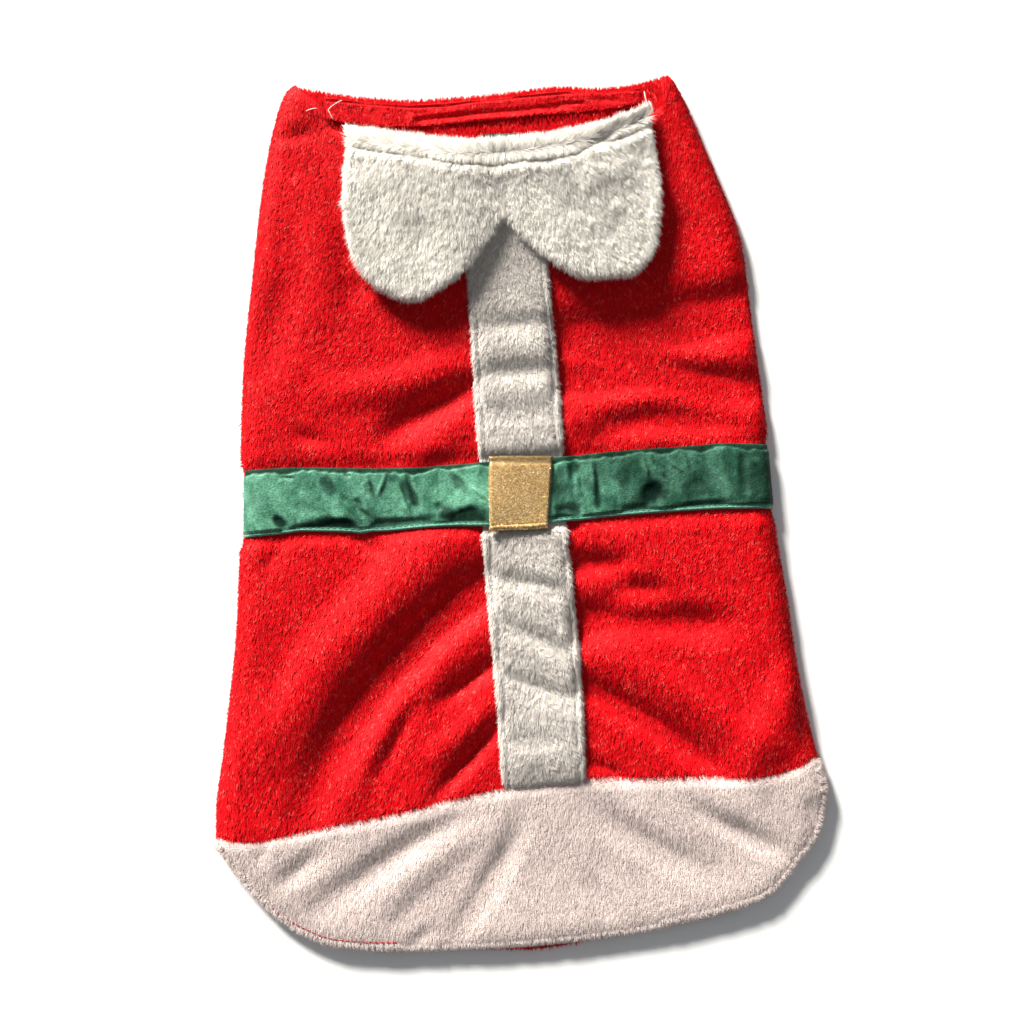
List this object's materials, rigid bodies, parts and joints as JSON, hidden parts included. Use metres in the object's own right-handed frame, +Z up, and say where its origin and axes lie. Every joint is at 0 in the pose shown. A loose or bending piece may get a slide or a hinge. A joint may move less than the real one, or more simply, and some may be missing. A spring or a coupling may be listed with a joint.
{
  "type": "cat christmas costume",
  "caption": "Pet costume laid flat: a red plush tube with white hem, placket strip and two-lobed collar, and a green satin belt with a gold patch for a buckle.",
  "frame": {"origin": "on the underside, in the middle of the laid-out garment's length and width", "axes": "+Y along the garment towards the neck, +Z up from the surface it lies on, +X to the right as seen from above"},
  "size_m": [0.2345, 0.342, 0.0177],
  "materials": {
    "red_plush": "short-pile red plush, matte with a sheen on the pile",
    "white_plush": "white plush with a longer pile, matte",
    "green_satin": "dark green satin, soft gloss",
    "gold_lame": "gold glitter cloth, soft metallic gloss",
    "black_tape": "black woven tape, matte and bare"
  },
  "bodies": {
    "root": {"back_panel": "red_plush", "hem_band": "white_plush", "placket_strip": "white_plush", "belt": "green_satin", "buckle_patch": "gold_lame", "collar": "white_plush", "belly_panel": "red_plush", "neck_facing": "red_plush", "neck_label": "black_tape"}
  },
  "joints": []
}
